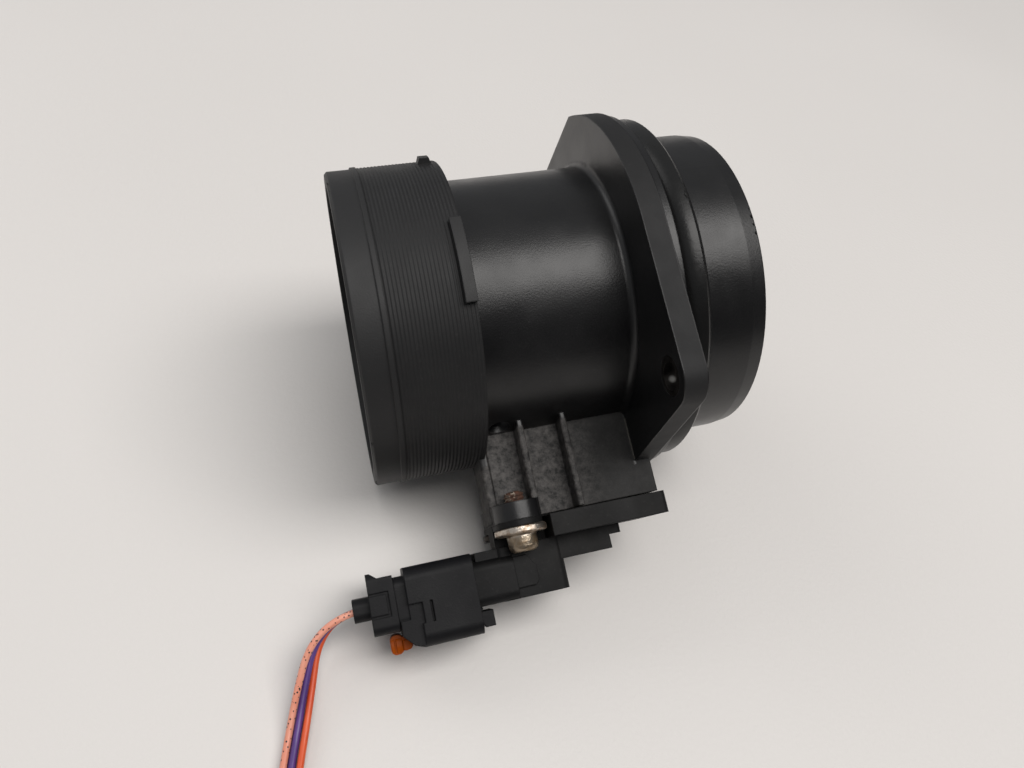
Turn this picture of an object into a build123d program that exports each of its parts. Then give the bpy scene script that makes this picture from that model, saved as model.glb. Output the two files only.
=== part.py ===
from build123d import *
import os
from math import cos, radians, sin, tan

# Mass airflow sensor. Millimetres. X runs along the tube, towards the spigot that enters the air box.
# The origin is on the tube's axis, at the flange's mounting face. Z is up as the part lies on a table.

# Tube and hose collar
throat_r = 32.0
tube_wall = 2.9
tube_length = 37.6
collar_r = 40.0
collar_wall = 3.2
collar_length = 26.9
collar_straight = 14.0
collar_taper = 16.0
ridge_from_rim = 6.3
ridge_width = 1.2
ridge_height = 0.45
rim_chamfer = 0.6
key_length = 2.7
key_height = 1.7
key_arc = 27.5
key_angle = 101.0
nub_length = 4.4
nub_width = 3.2
nub_slope = 72.0
nub_height = 1.7
nub_from_end = 3.2
nub_angle = 62.0

# Flange
flange_thickness = 5.5
flange_r = 47.7
flange_root = 1.6
flat_distance = 43.1
ear_circle_r = 53.0
ear_tip_r = 7.0
ear_angle = 50.5
ear_notch_angle = 23.0
ear_sweep_angle = 38.0
bush_hole_r = 3.25
bush_wall = 1.2

# Spigot and its seal
register_step = 0.7
register_length = 2.0
spigot_r = 40.3
spigot_length = 25.4
spigot_wall = 3.1
spigot_lead = 3.6
spigot_lead_drop = 0.5
seal_width = 7.6
seal_stand = 5.3
seal_crest_at = 5.4
seal_depth = 1.0
seal_shoulder = 2.3
seal_clearance = 0.1
seal_lip_share = 0.75
seal_bulge = 0.25
grid_depth = 3.0
grid_thickness = 4.0
grid_step = 1.6
grid_pitch = 7.2
grid_bar = 1.0
grid_rim = 1.6
grid_clearance = 0.15
bell_start = 4.0

# Sensor box on the tube
roll = 23.9
box_tuck = 1.5
box_length = 43.1
box_width = 14.6
box_end_r = 55.5
box_edge = 0.8
box_end_strip = 2.1
box_end_step = 0.6
box_rib_width = 1.7
box_rib_edge = 0.6
box_rib_reach = 12.7
box_rib_1 = 10.6
box_rib_2 = 21.6
lug_r = 5.6
lug_thickness = 4.3

# Sensor module
module_gap = 0.5
plate_length = 42.4
plate_width = 27.0
plate_thickness = 5.3
plate_corner = 1.5
notch_length = 12.8
notch_depth = 9.6
tab_thickness = 1.4
screw_from_end = 5.7
screw_across = 10.5
screw_r = 2.5
screw_hole_clearance = 0.15
screw_reach = 2.6
washer_r = 6.3
washer_thickness = 1.9
screw_head_r = 3.6
screw_head_height = 4.1
screw_head_round = 1.1
screw_drive_r = 1.9
screw_drive_depth = 2.0
neck_length = 29.0
neck_width = 11.4
neck_corner = 2.4
neck_clearance = 0.3
module_seal_width = 2.6
module_seal_depth = 1.1
module_seal_from_plate = 3.0
module_seal_land = 3.6
seal_fit = 0.05
blade_length = 22.0
blade_width = 8.0
blade_reach = 31.0
blade_nose = 3.6
channel_width = 5.6
channel_floor = 1.6
channel_tip_wall = 2.2
channel_rise = 22.0
cover_thickness = 1.2
cover_clearance = 0.1
board_thickness = 1.6
board_length = 23.0
board_height = 12.0
board_margin = 0.4
board_wall = 1.0
board_level = 1.4
chip_size = 5.0
chip_height = 1.2
element_width = 4.0
element_thickness = 0.6
probe_bead_r = 1.3
probe_wire_r = 0.3
probe_spread = 1.0
probe_reach = 9.0
probe_from_nose = 1.4
probe_socket = 2.0

# Connector socket of the module
connector_r = 68.6
base_thickness = 5.6
base_overhang = 5.8
base_length = 34.0
base_width = 12.4
foot_length = 3.2
foot_height = 2.3
foot_corner = 1.0
block_length = 12.8
block_half_width = 6.6
block_corner = 2.0
shroud_half_r = 5.2
shroud_half_width = 8.0
shroud_corner = 2.2
shroud_wall = 1.2
shroud_overhang = 17.6
shroud_length = 20.6
shroud_floor = 3.6
land_length = 5.3
land_short = 3.3
land_in = 4.5
land_out = 2.8
land_slope = 2.9
land_chamfer = 0.8
land_rise = 1.0
pin_count = 5
pin_pitch = 1.9
pin_size = 0.64
pin_reach = 9.0
pin_leg_start = 4.2
pin_leg_step = 0.95
pin_chamber_margin = 0.4
pin_chamber_height = 1.4
pin_clearance = 0.1
catch_height = 0.9
catch_length = 1.8
catch_width = 5.0

# Plug on the connector
plug_clearance = 0.3
plug_wall = 1.7
plug_in = 7.5
plug_out = 11.0
plug_corner = 3.0
plug_length = 16.1
plug_cover_depth = 10.6
plug_back_wall = 2.5
plug_tail = 2.6
plug_tail_half_r = 5.8
step_depth = 1.2
step_inner = 0.9
step_middle = 5.6
step_long = 5.5
step_short = 2.6
step_rib_width = 1.7
step_rib_gap = 0.6
cheek_reach = 2.3
cheek_inner = 4.3
cheek_corner = 7.6
cheek_outer = 10.0
plug_heel = 2.4
latch_half_width = 3.4
latch_thickness = 1.5
latch_gap = 0.9
latch_bridge = 2.2
latch_tip_length = 3.6
latch_tip_height = 3.7
latch_hook_length = 1.0
latch_tip_slope = 1.8
latch_tip_cut = 0.9
tunnel_wall = 1.5
tunnel_side_gap = 0.7
core_nose_length = 9.6
core_seat_length = 3.6
core_seat_wall = 0.9
contact_size = 1.4
contact_length = 8.0
contact_clearance = 0.1
back_cover_length = 6.0
back_cover_in = 7.7
back_cover_out = 6.4
back_cover_half_width = 8.6
back_cover_corner = 2.0
saddle_depth = 1.3
horn_length = 0.9
saddle_run = 1.6
frame_in = 3.1
frame_out = 2.6
frame_length = 4.6
frame_groove = 0.6
frame_depth = 0.5
neck_out_length = 3.9
neck_out_half_r = 2.7
neck_out_half_width = 6.0
seat_clearance = 0.1
lock_handle_length = 5.1
lock_knob_inner = 7.2
lock_knob_outer = 11.6
lock_knob_length = 3.0
lock_knob_round = 1.3
lock_neck_inner = 7.9
lock_neck_outer = 10.4
lock_neck_taper = 0.9
lock_half_width = 3.2
lock_tongue_length = 9.0
lock_gap = 0.3

# Wires
wire_r = 0.8
wire_clearance = 0.12
wire_start_depth = 4.0
lead_out = 3.0
lane_side = 1.85
lane_lift = 1.5
bend_share = 0.45

# Derived places along the tube
tube_r = throat_r + tube_wall
flange_near = -flange_thickness
collar_end = flange_near - tube_length
collar_start = collar_end - collar_length
register_r = flange_r - register_step
spigot_bore_r = spigot_r - spigot_wall
grid_seat = spigot_length - grid_depth - grid_thickness
seal_start = register_length
seal_end = seal_start + seal_width
seal_seat_r = spigot_r - seal_depth
seal_crest_r = spigot_r + seal_stand
seal_shoulder_r = spigot_r + seal_shoulder
module_angle = 180.0 + roll

# Module directions: radial points from the tube's axis into the box, across is square to it and to the tube
radial = Vector(0, -cos(radians(roll)), -sin(radians(roll)))
across = Vector(0, -sin(radians(roll)), cos(radians(roll)))
module = Plane(origin=(0, 0, 0), x_dir=(1, 0, 0), z_dir=radial)
side = Plane(origin=(0, 0, 0), x_dir=radial, z_dir=across)
outward = Axis(origin=(0, 0, 0), direction=radial)
facing = Plane(origin=(0, 0, 0), x_dir=radial, z_dir=(-1, 0, 0))
nub_side = Plane(
    origin=(0, 0, 0), x_dir=(1, 0, 0), z_dir=(0, -sin(radians(nub_angle)), cos(radians(nub_angle)))
)

# Derived places in the module
box_start = collar_end - box_tuck
box_end = box_start + box_length
box_middle = (box_start + box_end) / 2
plate_r = box_end_r + module_gap
plate_top_r = plate_r + plate_thickness
plate_end = box_end - module_gap
plate_start = plate_end - plate_length
plate_middle = (plate_start + plate_end) / 2
screw_x = plate_start + screw_from_end
screw_places = [(screw_x, screw_across), (screw_x, -screw_across)]
screw_hole_r = screw_r + screw_hole_clearance
lug_start_r = plate_r - lug_thickness
tab_top_r = plate_r + tab_thickness
module_seal_r = plate_r - module_seal_from_plate - module_seal_width
pocket_height = board_height + 2 * board_margin
pocket_r = module_seal_r - module_seal_land - pocket_height
blade_root_r = pocket_r - board_wall
blade_tip_r = blade_root_r - blade_reach
blade_upstream = box_middle + blade_length / 2
blade_downstream = box_middle - blade_length / 2
channel_tip_r = blade_tip_r + channel_tip_wall
board_r = pocket_r + board_margin
pocket_length = board_length + 2 * board_margin
board_top = board_thickness - board_level
channel_x = blade_downstream + channel_tip_wall + channel_width / 2
shroud_start = plate_start - shroud_overhang
shroud_end = shroud_start + shroud_length
shroud_bottom = shroud_end - shroud_floor
shroud_outer_r = connector_r + shroud_half_r
land_inner_r = connector_r - land_in
land_outer_r = connector_r + land_out
pin_rows = [(i - (pin_count - 1) / 2) * pin_pitch for i in range(pin_count)]
neck_start = box_middle - neck_length / 2
pin_legs = [neck_start + pin_leg_start + i * pin_leg_step for i in range(pin_count)]
pin_pairs = list(zip(sorted(pin_rows, key=abs), pin_legs))
base_start = plate_start - base_overhang
base_end = base_start + base_length

# Derived places in the plug, all set out from the connector's middle
plug_inner_r = connector_r - plug_in
plug_outer_r = connector_r + plug_out
step_inner_r = connector_r + step_inner
step_middle_r = connector_r + step_middle
cheek_inner_r = connector_r + cheek_inner
cheek_corner_r = connector_r + cheek_corner
cheek_outer_r = connector_r + cheek_outer
back_cover_inner_r = connector_r - back_cover_in
back_cover_outer_r = connector_r + back_cover_out
frame_inner_r = connector_r - frame_in
frame_outer_r = connector_r + frame_out
lock_knob_inner_r = connector_r + lock_knob_inner
lock_knob_outer_r = connector_r + lock_knob_outer
lock_neck_inner_r = connector_r + lock_neck_inner
lock_neck_outer_r = connector_r + lock_neck_outer
plug_end = shroud_start + plug_cover_depth
plug_start = plug_end - plug_length
plug_back = plug_start - plug_tail
skirt_half_r = shroud_half_r + plug_clearance
skirt_half_width = shroud_half_width + plug_clearance
plug_half_width = skirt_half_width + plug_wall
skirt_bottom = plug_start + plug_back_wall
latch_r = shroud_outer_r + plug_clearance + latch_gap
tunnel_top_r = plug_outer_r - tunnel_wall
tunnel_half_width = latch_half_width + tunnel_side_gap
core_half_r = shroud_half_r - shroud_wall - plug_clearance
core_half_width = shroud_half_width - shroud_wall - plug_clearance
core_front = shroud_bottom - plug_clearance
core_shoulder = core_front - core_nose_length
seat_half_r = contact_size / 2 + core_seat_wall
seat_half_width = -pin_rows[0] + contact_size / 2 + core_seat_wall
contact_front = shroud_bottom - 2 * plug_clearance - core_seat_wall
cover_front = plug_back
cover_back = cover_front - back_cover_length
wire_exit = cover_back - neck_out_length
wire_begin = wire_exit + wire_start_depth
wire_hole_r = wire_r + wire_clearance


def write_step(part, name):
    """Label one finished piece and write it to its own file."""
    part.label = name
    export_step(part, f"parts/{name}.step")


def facing_at(place):
    """Plane square to the tube at one place along it, with radial and across as its own axes."""
    return facing.offset(-place)


os.makedirs("parts", exist_ok=True)


# Housing: tube, collar, flange, spigot and sensor box in one moulding
ear_angles = [module_angle - ear_angle, module_angle - ear_angle + 180.0]
flat_middle = Vector(flat_distance + flange_r / 2, 0).rotate(Axis.Z, roll)

with BuildPart() as housing:
    with BuildSketch(Plane.XZ):
        with BuildLine():
            Polyline(
                (collar_start, 0),
                (collar_start, collar_r - rim_chamfer),
                (collar_start + rim_chamfer, collar_r),
                (collar_start + ridge_from_rim, collar_r),
                (collar_start + ridge_from_rim, collar_r + ridge_height),
                (collar_start + ridge_from_rim + ridge_width, collar_r + ridge_height),
                (collar_start + ridge_from_rim + ridge_width, collar_r),
                (collar_end, collar_r),
                (collar_end, tube_r),
                (flange_near - flange_root, tube_r),
            )
            TangentArc(
                (flange_near - flange_root, tube_r),
                (flange_near, tube_r + flange_root),
                tangent=(1, 0),
            )
            Polyline(
                (flange_near, tube_r + flange_root),
                (seal_start, tube_r + flange_root),
                (seal_start, seal_seat_r),
                (seal_end, seal_seat_r),
                (seal_end, spigot_r),
                (spigot_length - spigot_lead, spigot_r),
                (spigot_length, spigot_r - spigot_lead_drop),
                (spigot_length, 0),
                (collar_start, 0),
            )
        make_face()
    revolve(axis=Axis.X)
    # Flange with two ears and one flat
    with BuildSketch(Plane.YZ.offset(flange_near)):
        Circle(flange_r)
        # Each ear has a rounded tip, one steep edge and one edge that runs out on the flange
        for angle in ear_angles:
            with BuildLine():
                CenterArc(Vector(ear_circle_r, 0).rotate(Axis.Z, angle), ear_tip_r, 0, 360)
                Line(
                    Vector(flange_r, 0).rotate(Axis.Z, angle - ear_notch_angle),
                    Vector(flange_r, 0).rotate(Axis.Z, angle + ear_sweep_angle),
                )
            make_hull()
        with Locations(flat_middle):
            Rectangle(flange_r, 2 * flange_r, rotation=roll, mode=Mode.SUBTRACT)
    extrude(amount=flange_thickness)
    # Round step behind the flange, that centres it in the air box
    with BuildSketch(Plane.YZ):
        Circle(register_r)
        with Locations(flat_middle):
            Rectangle(flange_r, 2 * flange_r, rotation=roll, mode=Mode.SUBTRACT)
    extrude(amount=register_length)
    # Key bar on the collar's edge and nub on its top, for placing the hose
    with BuildSketch(Plane.YZ.offset(collar_end - key_length)):
        with BuildLine():
            CenterArc((0, 0), collar_r + key_height, key_angle, key_arc)
            CenterArc((0, 0), collar_r - collar_wall / 2, key_angle, key_arc)
            for edge_angle in (key_angle, key_angle + key_arc):
                Line(
                    Vector(collar_r - collar_wall / 2, 0).rotate(Axis.Z, edge_angle),
                    Vector(collar_r + key_height, 0).rotate(Axis.Z, edge_angle),
                )
        make_face()
    extrude(amount=key_length)
    with BuildSketch(nub_side):
        with Locations((collar_end - nub_from_end, collar_r + (nub_height - collar_wall / 2) / 2)):
            Trapezoid(nub_length, nub_height + collar_wall / 2, nub_slope)
    extrude(amount=nub_width / 2, both=True)
    # Box for the sensor module, with ribs that run up on to the tube
    with BuildSketch(module.offset(box_end_r)):
        with Locations((box_middle, 0)):
            RectangleRounded(box_length, box_width - 2 * box_end_step, box_edge)
        with Locations((box_middle + box_end_strip / 2, 0)):
            RectangleRounded(box_length - box_end_strip, box_width, box_end_step / 2)
        for rib_place in (box_rib_1, box_rib_2):
            with Locations((box_start + rib_place, 0)):
                RectangleRounded(box_rib_width, 2 * box_rib_reach, box_rib_edge)
    extrude(amount=throat_r - box_end_r)
    with BuildSketch(module.offset(lug_start_r)):
        for place in screw_places:
            with Locations(place):
                Circle(lug_r)
            with Locations((place[0], place[1] / 2)):
                Rectangle(2 * lug_r, screw_across)
    extrude(amount=lug_thickness)
    # Air passage: tapered outlet, throat, bell-shaped inlet and the seat of the flow grid
    with BuildSketch(Plane.XZ):
        with BuildLine():
            Polyline(
                (collar_start, 0),
                (collar_start, collar_r - collar_wall),
                (collar_start + collar_straight, collar_r - collar_wall),
                (collar_start + collar_straight + collar_taper, throat_r),
                (bell_start, throat_r),
            )
            TangentArc(
                (bell_start, throat_r),
                (grid_seat, spigot_bore_r - grid_step),
                tangent=(1, 0),
            )
            Polyline(
                (grid_seat, spigot_bore_r - grid_step),
                (grid_seat, spigot_bore_r),
                (spigot_length, spigot_bore_r),
                (spigot_length, 0),
                (collar_start, 0),
            )
        make_face()
    revolve(axis=Axis.X, mode=Mode.SUBTRACT)
    # Pocket for the module's neck, and the screw holes in the lugs
    with BuildSketch(module.offset(plate_r)):
        with Locations((box_middle, 0)):
            RectangleRounded(
                neck_length + 2 * neck_clearance, neck_width + 2 * neck_clearance, neck_corner
            )
    extrude(amount=throat_r / 2 - plate_r, mode=Mode.SUBTRACT)
    with BuildSketch(module.offset(plate_r)):
        with Locations(*screw_places):
            Circle(screw_hole_r)
    extrude(amount=-plate_r / 2, mode=Mode.SUBTRACT)
    # Holes for the metal sleeves in the ears
    with BuildSketch(Plane.YZ.offset(flange_near)):
        for angle in ear_angles:
            with Locations(Vector(ear_circle_r, 0).rotate(Axis.Z, angle)):
                Circle(bush_hole_r + bush_wall)
    extrude(amount=flange_thickness, mode=Mode.SUBTRACT)
write_step(housing.part, "housing")

# Metal sleeves that keep the bolts from crushing the plastic ears
with BuildPart() as flange_bushes:
    with BuildSketch(Plane.YZ.offset(flange_near)):
        for angle in ear_angles:
            with Locations(Vector(ear_circle_r, 0).rotate(Axis.Z, angle)):
                Circle(bush_hole_r + bush_wall - seal_fit)
                Circle(bush_hole_r, mode=Mode.SUBTRACT)
    extrude(amount=flange_thickness)
write_step(flange_bushes.part, "flange_bushes")

# Rubber seal ring round the spigot, with a lip-shaped crest
with BuildPart() as spigot_seal:
    with BuildSketch(Plane.XZ):
        with BuildLine():
            seal_near = seal_start + seal_clearance
            seal_far = seal_end - seal_clearance
            seal_inner = seal_seat_r + seal_clearance
            seal_lip_r = seal_shoulder_r + (seal_crest_r - seal_shoulder_r) * seal_lip_share
            Polyline(
                (seal_far, seal_shoulder_r),
                (seal_far, seal_inner),
                (seal_near, seal_inner),
                (seal_near, seal_shoulder_r),
            )
            ThreePointArc(
                (seal_near, seal_shoulder_r),
                (seal_near + seal_crest_at / 2, seal_lip_r),
                (seal_near + seal_crest_at, seal_crest_r),
            )
            ThreePointArc(
                (seal_near + seal_crest_at, seal_crest_r),
                (
                    (seal_near + seal_crest_at + seal_far) / 2 + seal_bulge,
                    (seal_crest_r + seal_shoulder_r) / 2 + seal_bulge,
                ),
                (seal_far, seal_shoulder_r),
            )
        make_face()
    revolve(axis=Axis.X)
write_step(spigot_seal.part, "spigot_seal")

# Flow grid: a ring with a square lattice, seated in the inlet
with BuildPart() as flow_grid:
    grid_r = spigot_bore_r - grid_clearance
    with BuildSketch(Plane.YZ.offset(grid_seat)):
        Circle(grid_r)
        Circle(grid_r - grid_rim, mode=Mode.SUBTRACT)
    extrude(amount=grid_thickness)
    with BuildSketch(Plane.YZ.offset(grid_seat)):
        Circle(grid_r - grid_rim / 2)
        bars = int(2 * grid_r / grid_pitch) + 1
        with GridLocations(grid_pitch, grid_pitch, bars, bars):
            Rectangle(grid_pitch - grid_bar, grid_pitch - grid_bar, mode=Mode.SUBTRACT)
    extrude(amount=grid_thickness)
write_step(flow_grid.part, "flow_grid")

# Sensor carrier: module plate, neck, measuring blade and connector socket in one moulding
with BuildPart() as sensor_carrier:
    with BuildSketch(module.offset(plate_r)):
        with Locations((plate_middle, 0)):
            RectangleRounded(plate_length, plate_width, plate_corner)
        for turn in (1, -1):
            with Locations((plate_start + notch_length / 2, turn * (plate_width - notch_depth) / 2)):
                Rectangle(notch_length, notch_depth, mode=Mode.SUBTRACT)
    extrude(amount=plate_thickness)
    with BuildSketch(module.offset(plate_r)):
        for place in screw_places:
            with Locations(place):
                Circle(lug_r)
            with Locations((place[0], place[1] / 2)):
                Rectangle(2 * lug_r, screw_across)
            with Locations(place):
                Circle(screw_hole_r, mode=Mode.SUBTRACT)
    extrude(amount=tab_thickness)
    # Base and block that carry the socket
    with BuildSketch(module.offset(plate_top_r)):
        with Locations((base_start + base_length / 2, 0)):
            Rectangle(base_length, base_width)
    extrude(amount=base_thickness)
    with BuildSketch(module.offset(plate_top_r)):
        with Locations((base_end + foot_length / 2 - foot_corner, 0)):
            RectangleRounded(foot_length + 2 * foot_corner, base_width, foot_corner)
    extrude(amount=foot_height)
    with BuildSketch(module.offset(plate_top_r)):
        with Locations((shroud_end + block_length / 2 - block_corner, 0)):
            RectangleRounded(block_length + 2 * block_corner, 2 * block_half_width, block_corner)
    extrude(amount=shroud_outer_r - plate_top_r)
    with BuildSketch(facing_at(shroud_end)):
        with Locations((connector_r, 0)):
            RectangleRounded(2 * shroud_half_r, 2 * shroud_half_width, shroud_corner)
    extrude(amount=shroud_length)
    with BuildSketch(facing_at(shroud_bottom)):
        with Locations((connector_r, 0)):
            RectangleRounded(
                2 * (shroud_half_r - shroud_wall),
                2 * (shroud_half_width - shroud_wall),
                shroud_corner - shroud_wall,
            )
    extrude(amount=shroud_bottom - shroud_start, mode=Mode.SUBTRACT)
    # Lands beside the block, behind the socket's collar
    with BuildSketch(side):
        with BuildLine():
            Polyline(
                (land_inner_r, shroud_end),
                (land_inner_r, shroud_end + land_short),
                (land_inner_r + land_slope, shroud_end + land_length),
                (land_outer_r - land_chamfer, shroud_end + land_length),
                (land_outer_r, shroud_end + land_length - land_chamfer),
                (land_outer_r, shroud_end),
                close=True,
            )
        make_face()
    extrude(amount=block_half_width + land_rise, both=True)
    # Catch for the plug's latch
    with BuildSketch(side):
        with BuildLine():
            Polyline(
                (shroud_outer_r - shroud_wall / 2, plug_end),
                (shroud_outer_r + catch_height, plug_end),
                (shroud_outer_r + catch_height, plug_end - catch_length / 2),
                (shroud_outer_r - shroud_wall / 2, plug_end - catch_length),
                close=True,
            )
        make_face()
    extrude(amount=catch_width / 2, both=True)
    # Neck with its seal groove
    with BuildSketch(module.offset(plate_r)):
        with Locations((box_middle, 0)):
            RectangleRounded(neck_length, neck_width, neck_corner)
    extrude(amount=blade_root_r - plate_r)
    with BuildSketch(module.offset(module_seal_r)):
        with Locations((box_middle, 0)):
            Rectangle(neck_length + neck_corner, neck_width + neck_corner)
            RectangleRounded(
                neck_length - 2 * module_seal_depth,
                neck_width - 2 * module_seal_depth,
                neck_corner - module_seal_depth,
                mode=Mode.SUBTRACT,
            )
    extrude(amount=module_seal_width, mode=Mode.SUBTRACT)
    # Measuring blade with its bypass channel
    with BuildSketch(module.offset(blade_root_r)):
        with Locations((box_middle, 0)):
            RectangleRounded(blade_length, blade_width, blade_nose)
    extrude(amount=-blade_reach)
    channel_bottom = channel_floor - blade_width / 2
    with BuildSketch(side.offset(channel_bottom)):
        with Locations((channel_tip_r + channel_width / 2, (channel_x + blade_upstream) / 2)):
            Rectangle(channel_width, blade_upstream - channel_x + channel_width)
        with Locations((channel_tip_r + channel_rise / 2, channel_x)):
            Rectangle(channel_rise, channel_width)
    extrude(amount=blade_width, mode=Mode.SUBTRACT)
    with BuildSketch(side.offset(blade_width / 2 - cover_thickness)):
        with Locations((channel_tip_r + channel_rise / 2, box_middle)):
            Rectangle(channel_rise + channel_tip_wall, blade_length - 2 * blade_nose)
    extrude(amount=blade_width, mode=Mode.SUBTRACT)
    # Board pocket and its lid recess
    with BuildSketch(side.offset(-board_level)):
        with Locations((pocket_r + pocket_height / 2, box_middle)):
            Rectangle(pocket_height, pocket_length)
    extrude(amount=neck_width, mode=Mode.SUBTRACT)
    with BuildSketch(side.offset(neck_width / 2 - cover_thickness)):
        with Locations((pocket_r + pocket_height / 2, box_middle)):
            Rectangle(pocket_height + board_wall, pocket_length + board_wall)
    extrude(amount=neck_width, mode=Mode.SUBTRACT)
    # Slot for the sensing element, from the board to the channel
    with BuildSketch(module.offset(pocket_r)):
        with Locations((channel_x, board_top + element_thickness / 2)):
            Rectangle(element_width + 2 * cover_clearance, element_thickness + 2 * cover_clearance)
    extrude(amount=channel_tip_r + channel_rise - pocket_r, mode=Mode.SUBTRACT)
    # Chamber for the pins' legs, and the pins' way into the socket
    chamber_width = 2 * (pin_rows[-1] + pin_size / 2 + pin_clearance)
    with BuildSketch(module.offset(pocket_r + pocket_height)):
        with Locations(((pin_legs[0] + pin_legs[-1]) / 2, 0)):
            Rectangle(pin_legs[-1] - pin_legs[0] + pin_size + 2 * pin_chamber_margin, chamber_width)
    extrude(amount=pin_chamber_height, mode=Mode.SUBTRACT)
    pin_way = pin_size + 2 * pin_clearance
    for row, leg in pin_pairs:
        with BuildSketch(module.offset(pocket_r + pocket_height)):
            with Locations((leg, row)):
                Rectangle(pin_way, pin_way)
        extrude(amount=connector_r + pin_way / 2 - pocket_r - pocket_height, mode=Mode.SUBTRACT)
        with BuildSketch(facing_at(leg)):
            with Locations((connector_r, row)):
                Rectangle(pin_way, pin_way)
        extrude(amount=leg - shroud_bottom, mode=Mode.SUBTRACT)
    # Sockets for the temperature probe's wires
    probe_x = blade_upstream + probe_from_nose
    with BuildSketch(module.offset(blade_root_r)):
        with Locations((probe_x, probe_spread), (probe_x, -probe_spread)):
            Circle(probe_wire_r + seal_fit)
    extrude(amount=probe_socket, mode=Mode.SUBTRACT)
write_step(sensor_carrier.part, "sensor_carrier")

# Seal in the neck's groove
with BuildPart() as carrier_seal:
    with BuildSketch(module.offset(module_seal_r + seal_fit)):
        with Locations((box_middle, 0)):
            RectangleRounded(
                neck_length + 2 * (neck_clearance - seal_fit),
                neck_width + 2 * (neck_clearance - seal_fit),
                neck_corner,
            )
            RectangleRounded(
                neck_length - 2 * (module_seal_depth - seal_fit),
                neck_width - 2 * (module_seal_depth - seal_fit),
                neck_corner - module_seal_depth + seal_fit,
                mode=Mode.SUBTRACT,
            )
    extrude(amount=module_seal_width - 2 * seal_fit)
write_step(carrier_seal.part, "carrier_seal")

# Cover over the bypass channel, with the window where the measured air leaves
with BuildPart() as bypass_cover:
    with BuildSketch(side.offset(blade_width / 2 - cover_thickness)):
        with Locations((channel_tip_r + channel_rise / 2, box_middle)):
            Rectangle(
                channel_rise + channel_tip_wall - 2 * cover_clearance,
                blade_length - 2 * blade_nose - 2 * cover_clearance,
            )
        with Locations((channel_tip_r + channel_rise - channel_width / 2, channel_x + channel_width / 4)):
            SlotOverall(channel_width - cover_thickness, channel_width / 3, mode=Mode.SUBTRACT)
    extrude(amount=cover_thickness)
write_step(bypass_cover.part, "bypass_cover")

# Lid over the circuit board
with BuildPart() as board_lid:
    with BuildSketch(side.offset(neck_width / 2 - cover_thickness)):
        with Locations((pocket_r + pocket_height / 2, box_middle)):
            Rectangle(
                pocket_height + board_wall - 2 * cover_clearance,
                pocket_length + board_wall - 2 * cover_clearance,
            )
    extrude(amount=cover_thickness)
write_step(board_lid.part, "board_lid")

# Circuit board with its evaluation chip
with BuildPart() as circuit_board:
    with BuildSketch(side.offset(-board_level)):
        with Locations((board_r + board_height / 2, box_middle)):
            Rectangle(board_height, board_length)
    extrude(amount=board_thickness)
    with BuildSketch(side.offset(board_top)):
        with Locations((board_r + board_height / 2, box_middle + chip_size)):
            Rectangle(chip_size, chip_size)
    extrude(amount=chip_height)
write_step(circuit_board.part, "circuit_board")

# Sensing element: a thin plate that reaches from the board into the bypass channel
with BuildPart() as sensing_element:
    element_tip_r = channel_tip_r + channel_rise / 2
    element_root_r = board_r + element_width
    with BuildSketch(side.offset(board_top)):
        with Locations(((element_tip_r + element_root_r) / 2, channel_x)):
            Rectangle(element_root_r - element_tip_r, element_width)
    extrude(amount=element_thickness)
write_step(sensing_element.part, "sensing_element")

# Air temperature probe: a bead on two wires, upstream of the blade
with BuildPart() as air_temp_probe:
    bead_r = blade_root_r - probe_reach
    with BuildSketch(module.offset(bead_r)):
        with Locations((probe_x, probe_spread), (probe_x, -probe_spread)):
            Circle(probe_wire_r)
    extrude(amount=probe_reach + probe_socket)
    with Locations(module.from_local_coords((probe_x, 0, bead_r))):
        Sphere(probe_bead_r)
write_step(air_temp_probe.part, "air_temp_probe")

# Pins: from inside the socket, down through the neck and across to their landings on the board
with BuildPart() as terminal_pins:
    foot_r = pocket_r + pocket_height + pin_size
    landing_r = board_r + board_height - 2 * pin_size
    pin_tip = shroud_bottom - pin_reach
    landing_level = board_top + pin_size / 2
    for row, leg in pin_pairs:
        with BuildSketch(facing_at(leg + pin_size / 2)):
            with Locations((connector_r, row)):
                Rectangle(pin_size, pin_size)
        extrude(amount=leg + pin_size / 2 - pin_tip)
        with BuildSketch(module.offset(foot_r - pin_size / 2)):
            with Locations((leg, row)):
                Rectangle(pin_size, pin_size)
        extrude(amount=connector_r - foot_r)
        with BuildSketch(module.offset(foot_r - pin_size / 2)):
            with Locations((leg, (row + landing_level) / 2)):
                Rectangle(pin_size, abs(row - landing_level) + pin_size)
        extrude(amount=pin_size)
        with BuildSketch(module.offset(landing_r)):
            with Locations((leg, landing_level)):
                Rectangle(pin_size, pin_size)
        extrude(amount=foot_r - landing_r)
write_step(terminal_pins.part, "terminal_pins")

# Two screws with washer heads that hold the module to the housing's lugs
with BuildPart() as module_screws:
    with BuildSketch(module.offset(lug_start_r - screw_reach)):
        with Locations(*screw_places):
            Circle(screw_r)
    extrude(amount=tab_top_r - lug_start_r + screw_reach)
    with BuildSketch(module.offset(tab_top_r)):
        with Locations(*screw_places):
            Circle(washer_r)
    extrude(amount=washer_thickness)
    with BuildSketch(module.offset(tab_top_r + washer_thickness)):
        with Locations(*screw_places):
            Circle(screw_head_r)
    extrude(amount=screw_head_height)
    head_rims = module_screws.edges().filter_by(GeomType.CIRCLE).group_by(outward)[-1]
    fillet(head_rims, radius=screw_head_round)
    with BuildSketch(module.offset(tab_top_r + washer_thickness + screw_head_height)):
        with Locations(*screw_places):
            RegularPolygon(screw_drive_r, 6)
    extrude(amount=-screw_drive_depth, mode=Mode.SUBTRACT)
write_step(module_screws.part, "module_screws")

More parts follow.
